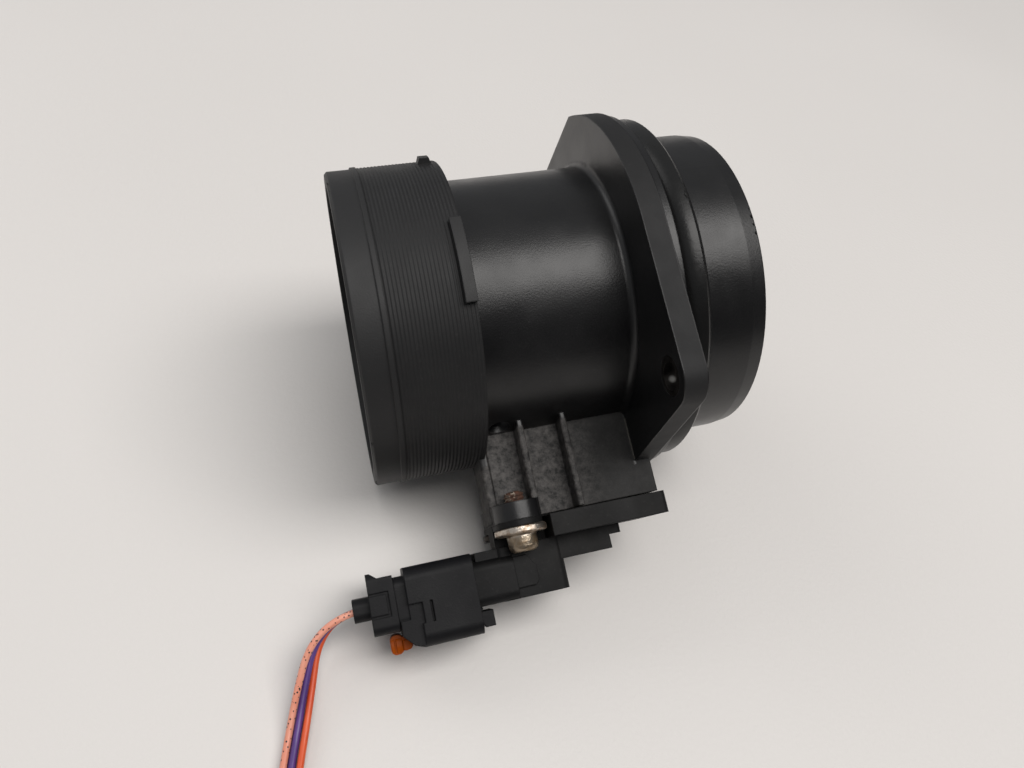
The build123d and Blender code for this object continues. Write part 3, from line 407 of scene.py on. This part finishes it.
def skin(shape, rings, closed=False, capped=False):
    """Faces between rings of points: closed joins the last ring to the first, capped fills both ends."""
    pairs = list(zip(rings, rings[1:]))
    if closed:
        pairs.append((rings[-1], rings[0]))
    for lower, upper in pairs:
        for step in range(len(lower)):
            after = (step + 1) % len(lower)
            shape.faces.new((lower[step], lower[after], upper[after], upper[step]))
    if capped:
        shape.faces.new(rings[0])
        shape.faces.new(rings[-1])


def round_axis(axis, angle, reach, along):
    """Offset in metres from millimetres out from an axis at an angle, and along it."""
    side = axis.orthogonal().normalized()
    other = axis.cross(side)
    return (side * (reach * math.cos(angle)) + other * (reach * math.sin(angle)) + axis * along) * MM


LOBES = 6
WAVE_PHASE = 0.6


def turned(name, profile, centres, axis, segments, material, closed=False):
    """Solid of revolution at each centre: profile rows are millimetres along the axis, radius, wave and lobe."""
    shape = bmesh.new()
    for centre in centres:
        rings = []
        for along, radius, wave, lobe in profile:
            ring = []
            for step in range(segments):
                angle = 2 * math.pi * step / segments
                reach = radius + lobe * math.cos(LOBES * angle)
                rise = along + wave * math.cos(2 * angle + WAVE_PHASE)
                ring.append(shape.verts.new(centre + round_axis(axis, angle, reach, rise)))
            rings.append(ring)
        skin(shape, rings, closed=closed)
    return finish_piece(name, shape, material)


# Fine ribs round the hose collar: each is a row of shares of the pitch and of the height
RIB_COUNT = 22
RIB_START = -62.3
RIB_END = -43.15
RIB_HEIGHT = 0.15
RIB_FOOT = 0.03
RIB_SUNK_R = COLLAR_R - 0.2
RIB_SHAPE = ((0.0, 0.0), (0.17, 0.25), (0.33, 0.75), (0.5, 1.0), (0.67, 0.75), (0.83, 0.25))
COLLAR_SEGMENTS = 288
rib_pitch = (RIB_END - RIB_START) / RIB_COUNT
rib_rows = [(RIB_START, RIB_SUNK_R, 0.0, 0.0)]
for rib in range(RIB_COUNT):
    foot = RIB_START + rib * rib_pitch
    for share, height in RIB_SHAPE:
        rib_rows.append((foot + share * rib_pitch, COLLAR_R + RIB_FOOT + height * RIB_HEIGHT, 0.0, 0.0))
rib_rows.append((RIB_END, COLLAR_R + RIB_FOOT, 0.0, 0.0))
rib_rows.append((RIB_END, RIB_SUNK_R, 0.0, 0.0))
turned("collar_ribs", rib_rows, [Vector((0, 0, 0))], ALONG, COLLAR_SEGMENTS, collar_black, closed=True)

# Screw heads: from the middle of the bent washer's underside, over the head and down into the drive recess
WASHER_WAVE = 0.12
DRIVE_R = 1.75
DRIVE_LOBE = 0.22
DRIVE_DEPTH = 2.0
HEAD_SEGMENTS = 72
screw_centres = [place(SCREW_X, side * SCREW_ACROSS, 0) for side in (1, -1)]
washer_top = TAB_TOP_R + WASHER_THICKNESS
head_top = washer_top + HEAD_HEIGHT
head_rows = [
    (TAB_TOP_R, 0.0, 0.0, 0.0),
    (TAB_TOP_R, WASHER_R - 0.4, 0.0, 0.0),
    (TAB_TOP_R + 0.35, WASHER_R, WASHER_WAVE, 0.0),
    (washer_top - 0.45, WASHER_R, WASHER_WAVE, 0.0),
    (washer_top - 0.1, WASHER_R - 0.5, WASHER_WAVE, 0.0),
    (washer_top, HEAD_R + 0.5, 0.0, 0.0),
    (washer_top + 0.25, HEAD_R, 0.0, 0.0),
    (head_top - 1.3, HEAD_R - 0.05, 0.0, 0.0),
    (head_top - 0.6, HEAD_R - 0.3, 0.0, 0.0),
    (head_top - 0.15, HEAD_R - 0.85, 0.0, 0.0),
    (head_top, HEAD_R - 1.4, 0.0, 0.0),
    (head_top, DRIVE_R + 0.15, 0.0, DRIVE_LOBE),
    (head_top - 0.2, DRIVE_R, 0.0, DRIVE_LOBE),
    (head_top - DRIVE_DEPTH, DRIVE_R, 0.0, DRIVE_LOBE),
    (head_top - DRIVE_DEPTH, 0.0, 0.0, 0.0),
]
heads = turned("screw_heads", head_rows, screw_centres, RADIAL, HEAD_SEGMENTS, screw_steel)
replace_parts(heads, "module_screws")

# Screw threads: the tip starts at a share of the full radius and tapers out to it
THREAD_PITCH = 0.9
THREAD_DEPTH = 0.4
THREAD_STEPS = 8
TURN_STEPS = 48
TIP_SHARE = 0.6
TIP_TAPER = 1.2


def threads():
    """Screw shanks with a helical ridge, from the tip up to the washer."""
    length = TAB_TOP_R - SCREW_TIP_R
    rows = int(length / THREAD_PITCH * THREAD_STEPS)
    shape = bmesh.new()
    for centre in screw_centres:
        rings = []
        for row in range(rows + 1):
            along = row / rows * length
            lead = min(1.0, TIP_SHARE + along / TIP_TAPER)
            ring = []
            for step in range(TURN_STEPS):
                angle = 2 * math.pi * step / TURN_STEPS
                phase = (along / THREAD_PITCH - step / TURN_STEPS) % 1.0
                ridge = 1.0 - abs(2 * phase - 1.0)
                reach = (SCREW_R - THREAD_DEPTH * (1.0 - ridge)) * lead
                ring.append(shape.verts.new(centre + round_axis(RADIAL, angle, reach, SCREW_TIP_R + along)))
            rings.append(ring)
        skin(shape, rings, capped=True)
    return finish_piece("screw_threads", shape, thread_rust)


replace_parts(threads(), "module_screws")

# Burrs on the collar's rim, chips on the spigot's rim and a torn flap on the seal's crest: each edge is x and radius
SEAL_CREST = (7.3, 45.5)
SPIGOT_RIM = (25.05, 39.95)
COLLAR_RIM = (-69.8, 39.85)
COLLAR_BURRS = [(73, 0.7), (79, 0.4), (171, 0.8), (176, 0.5), (199, 0.7), (203, 0.9)]
SPIGOT_CHIPS = [(110, 0.5), (113, 0.8), (116, 0.6), (119, 0.9)]
SEAL_FLAPS = [(105, 0.8), (107, 1.0)]
FLAKE_CORNERS = 9
FLAKE_SPIN = 2.4
FLAKE_MEAN = 0.55
FLAKE_SWING = 0.45
FLAKE_BEAT = 3.7
FLAKE_ALONG = 0.3
FLAKE_OUT = 0.45
FLAKE_TILT = 1.9


def flakes(name, rim, spots, material):
    """Small jagged flakes on a round edge: each spot is an angle in degrees and a size in millimetres."""
    x, radius = rim
    shape = bmesh.new()
    for angle, size in spots:
        turn = math.radians(angle)
        out = Vector((0, math.cos(turn), math.sin(turn)))
        round_way = ALONG.cross(out)
        corners = []
        for corner in range(FLAKE_CORNERS):
            spin = FLAKE_SPIN * corner + angle
            reach = size * (FLAKE_MEAN + FLAKE_SWING * math.sin(FLAKE_BEAT * corner + angle))
            offset = round_way * (reach * math.cos(spin)) + ALONG * (FLAKE_ALONG * reach * math.sin(spin))
            offset += out * (FLAKE_OUT * reach * math.sin(FLAKE_TILT * spin))
            corners.append(shape.verts.new((ALONG * x + out * radius + offset) * MM))
        hull = bmesh.ops.convex_hull(shape, input=corners)
        loose = [item for item in hull["geom_interior"] if isinstance(item, bmesh.types.BMVert)]
        bmesh.ops.delete(shape, geom=loose, context="VERTS")
    return finish_piece(name, shape, material)


flakes("collar_burrs", COLLAR_RIM, COLLAR_BURRS, collar_black)
flakes("spigot_chips", SPIGOT_RIM, SPIGOT_CHIPS, collar_black)
flakes("seal_flap", SEAL_CREST, SEAL_FLAPS, rubber_black)

# Lock: grip bars on the knob, and the rounded block between the knob and the shell
KNOB_BACK = -72.9
KNOB_FRONT = -69.9
HANDLE_FRONT = -67.8
KNOB_INNER_R = 75.8
KNOB_OUTER_R = 80.2
LOCK_HALF = 3.2
BLOCK_INNER_R = 77.2
BLOCK_OUTER_R = 79.7
BLOCK_ROUND = 0.2
BLOCK_END_SCALE = 0.86
BAR_INNER_R = KNOB_INNER_R + 0.9
BAR_ROWS = ((-0.3, 1.0), (0.15, 1.0), (0.35, 0.82))


def slabs(name, prisms, material, body):
    """Prisms square to the module: each has an outline in x and radius, and rows of height across and scale."""
    shape = bmesh.new()
    for outline, rows in prisms:
        middle_x = sum(x for x, _ in outline) / len(outline)
        middle_r = sum(r for _, r in outline) / len(outline)
        rings = []
        for across, scale in rows:
            rings.append([
                shape.verts.new(place(middle_x + (x - middle_x) * scale, across, middle_r + (r - middle_r) * scale))
                for x, r in outline
            ])
        skin(shape, rings, capped=True)
    return finish_piece(name, shape, material, body)


def bar(start, end, outer):
    """Outline of one grip bar."""
    return [(start, BAR_INNER_R), (start, outer), (end, outer), (end, BAR_INNER_R)]


block = [
    (KNOB_FRONT - 0.2, BLOCK_INNER_R), (KNOB_FRONT - 0.2, BLOCK_OUTER_R - 0.2), (KNOB_FRONT + 0.5, BLOCK_OUTER_R),
    (HANDLE_FRONT - 0.6, BLOCK_OUTER_R - 0.2), (HANDLE_FRONT - 0.2, BLOCK_OUTER_R - 0.5),
    (HANDLE_FRONT - 0.1, BLOCK_OUTER_R - 1.1), (HANDLE_FRONT - 0.1, BLOCK_INNER_R),
]
block_rows = [
    (-LOCK_HALF - BLOCK_ROUND, BLOCK_END_SCALE), (-LOCK_HALF, 1.0),
    (LOCK_HALF, 1.0), (LOCK_HALF + BLOCK_ROUND, BLOCK_END_SCALE),
]
grip = [(block, block_rows)]
for side in (1, -1):
    rows = [(side * (LOCK_HALF + rise), scale) for rise, scale in BAR_ROWS]
    grip.append((bar(KNOB_BACK + 0.15, KNOB_BACK + 0.95, KNOB_OUTER_R - 0.5), rows))
    grip.append((bar(KNOB_BACK + 1.25, KNOB_FRONT - 0.2, KNOB_OUTER_R - 0.4), rows))
slabs("lock_grip", grip, lock_orange, LOCK)

# Corner strip where the sensor box meets the flange, pale grey as a painted highlight along the fillet: its outline
# is x from the flange and height from the panel
ROOT_WIDTH = 0.4
ROOT_SUNK = 0.05
ROOT_HOLLOW = ROOT_WIDTH * 0.4
ROOT_RADII = (36.0, 40.0, 44.0, 46.8)
PANEL_ACROSS = 7.3


def panel_root():
    """Thin hollow-faced strip along the corner, coloured pale grey as a painted highlight."""
    outline = [
        (-ROOT_SUNK, -ROOT_SUNK), (-ROOT_WIDTH, -ROOT_SUNK), (-ROOT_HOLLOW, ROOT_HOLLOW), (-ROOT_SUNK, ROOT_WIDTH),
    ]
    shape = bmesh.new()
    rings = []
    for radial in ROOT_RADII:
        rings.append([
            shape.verts.new(place(FLANGE_NEAR + aside + ROOT_SUNK, PANEL_ACROSS + rise, radial))
            for aside, rise in outline
        ])
    skin(shape, rings, capped=True)
    return finish_piece("panel_root", shape, fillet_highlight_grey)


panel_root()

# Wires: the route of each, as in the part's source
WIRE_R = 0.8
PIN_PITCH = 1.9
CONNECTOR_R = 68.6
WIRE_EXIT = -80.0
WIRE_BEGIN = -76.0
LEAD_OUT = 3.0
LANE_SIDE = 1.85
LANE_LIFT = 1.5
ROUTE = [
    (-89.9, -67.4, -30.2), (-93.4, -76.6, -34.0), (-96.1, -85.0, -35.9),
    (-98.0, -92.0, -35.8), (-99.6, -99.0, -35.5), (-100.9, -105.6, -35.3),
]
ROW_SHARE = [1.0, 0.45, 0.0, 0.0, 0.0, 0.0]
LANE_SHARE = [0.5, 0.9, 1.0, 1.0, 1.0, 1.0]
WIRES = [
    ("wire_grey", -2, (LANE_SIDE / 2, 0.0), 56.1),
    ("wire_violet", -1, (-LANE_SIDE / 2, 0.0), 56.7),
    ("wire_orange", 0, (LANE_SIDE, LANE_LIFT), 54.5),
    ("wire_violet", 1, (0.0, LANE_LIFT), 55.4),
    ("wire_salmon", 2, (-LANE_SIDE, LANE_LIFT), 56.4),
]
WIRE_COLOURS = {
    "wire_salmon": ((0.72, 0.26, 0.17), (0.78, 0.34, 0.24)),
    "wire_violet": ((0.07, 0.03, 0.17), (0.11, 0.05, 0.24)),
    "wire_orange": ((0.6, 0.065, 0.012), (0.7, 0.1, 0.024)),
    "wire_grey": ((0.24, 0.22, 0.25), (0.34, 0.31, 0.34)),
}
DOTTED = "wire_salmon"
wire_materials = {
    slot: wire_material(slot, dark, light, slot == DOTTED) for slot, (dark, light) in WIRE_COLOURS.items()
}
for number, (slot, row, lane, length) in enumerate(WIRES, start=1):
    across = row * PIN_PITCH
    points = [place(x, across, CONNECTOR_R) for x in (WIRE_BEGIN, WIRE_EXIT - LEAD_OUT)]
    for point, in_row, in_lane in zip(ROUTE, ROW_SHARE, LANE_SHARE):
        offset = ACROSS * (across * in_row) + Vector((lane[0], 0, lane[1])) * in_lane
        points.append((Vector(point) + offset) * MM)
    curve = bpy.data.curves.new(f"wire_{number}_lead", "CURVE")
    curve.dimensions = "3D"
    spline = curve.splines.new("NURBS")
    spline.points.add(len(points) - 1)
    for control, point in zip(spline.points, points):
        control.co = (*point, 1.0)
    spline.order_u = 3
    spline.use_endpoint_u = True
    spline.resolution_u = 12
    curve.bevel_depth = WIRE_R * MM
    curve.bevel_resolution = 5
    curve.use_fill_caps = True
    lead = bpy.data.objects.new(f"wire_{number}_lead", curve)
    scene.collection.objects.link(lead)
    curve.materials.append(wire_materials[slot])
    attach(lead, BODY)
    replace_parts(lead, f"wire_{number}")

# Pale table under the part: it touches the collar's rim and the flange's edge
TABLE_SIZE = 4.0
TABLE_GAP = 0.2
WEAVE_DEPTH = 0.1
table_slope = (FLANGE_R - COLLAR_R) / (FLANGE_NEAR - COLLAR_START)
floor_normal = Vector((table_slope, 0, 1)).normalized()
bpy.ops.mesh.primitive_plane_add(size=TABLE_SIZE, location=Vector((COLLAR_START, 0, -COLLAR_R - TABLE_GAP)) * MM)
floor = bpy.context.object
floor.name = "table"
floor.rotation_mode = "QUATERNION"
floor.rotation_quaternion = Vector((0, 0, 1)).rotation_difference(floor_normal)
table_pale, tree, shader = new_material("table_pale")
where = coordinates(tree)
patches = span(tree, noise(tree, where, 3.0, 2.0), *MIDDLE)
tree.links.new(blend(tree, patches, (0.68, 0.657, 0.635), (0.71, 0.687, 0.665)), shader.inputs["Base Color"])
shader.inputs["Roughness"].default_value = 0.6
weave = add(tree, "ShaderNodeBump", [
    ("Strength", 1.0), ("Distance", WEAVE_DEPTH * MM), ("Height", noise(tree, where, 700.0, 2.0))])
tree.links.new(weave.outputs["Normal"], shader.inputs["Normal"])
floor.data.materials.append(table_pale)

# Soft studio light: a broad lamp overhead, a weak one behind at the left, and a room that is pale above and behind
# and dim towards the viewer
ROOM_FADE = (-0.38, 0.35, 0.55)
ROOM_LEVEL = 0.22
ROOM_DIM = (0.14, 0.14, 0.145)
ROOM_PALE = (0.97, 0.98, 1.0)
ROOM_STRENGTH = 0.46


def studio_world():
    """World that fades from a pale ceiling to a dim front."""
    world = bpy.data.worlds.new("studio")
    world.use_nodes = True
    tree = world.node_tree
    background = tree.nodes["Background"]
    where = add(tree, "ShaderNodeTexCoord").outputs["Generated"]
    level = calc(tree, "ADD", distance_along(tree, where, ROOM_FADE), ROOM_LEVEL)
    shade = add(tree, "ShaderNodeMapRange", [("Value", level)], interpolation_type="SMOOTHSTEP").outputs["Result"]
    tree.links.new(blend(tree, shade, ROOM_DIM, ROOM_PALE), background.inputs["Color"])
    background.inputs["Strength"].default_value = ROOM_STRENGTH
    scene.world = world


def area_light(name, where, target, length, width, power, colour):
    """Large soft lamp that faces a point, with its length along the tube: metres and watts."""
    data = bpy.data.lights.new(name, "AREA")
    data.shape = "RECTANGLE"
    data.size = length
    data.size_y = width
    data.energy = power
    data.color = colour
    lamp = bpy.data.objects.new(name, data)
    scene.collection.objects.link(lamp)
    away = (Vector(where) - Vector(target)).normalized()
    level = (ALONG - away * ALONG.dot(away)).normalized()
    facing = Matrix((level, away.cross(level), away)).transposed()
    lamp.matrix_world = Matrix.Translation(where) @ facing.to_4x4()


studio_world()
area_light("skylight", where=(0.62, -0.43, 1.83), target=(-0.02, 0, 0), length=2.05, width=1.05, power=36.0,
           colour=(1.0, 0.975, 0.95))
area_light("window", where=(-0.75, 0.75, 0.85), target=(-0.1, 0.05, 0), length=0.9, width=0.7, power=3.0,
           colour=(1.0, 0.985, 0.97))

scene.view_settings.view_transform = "Standard"
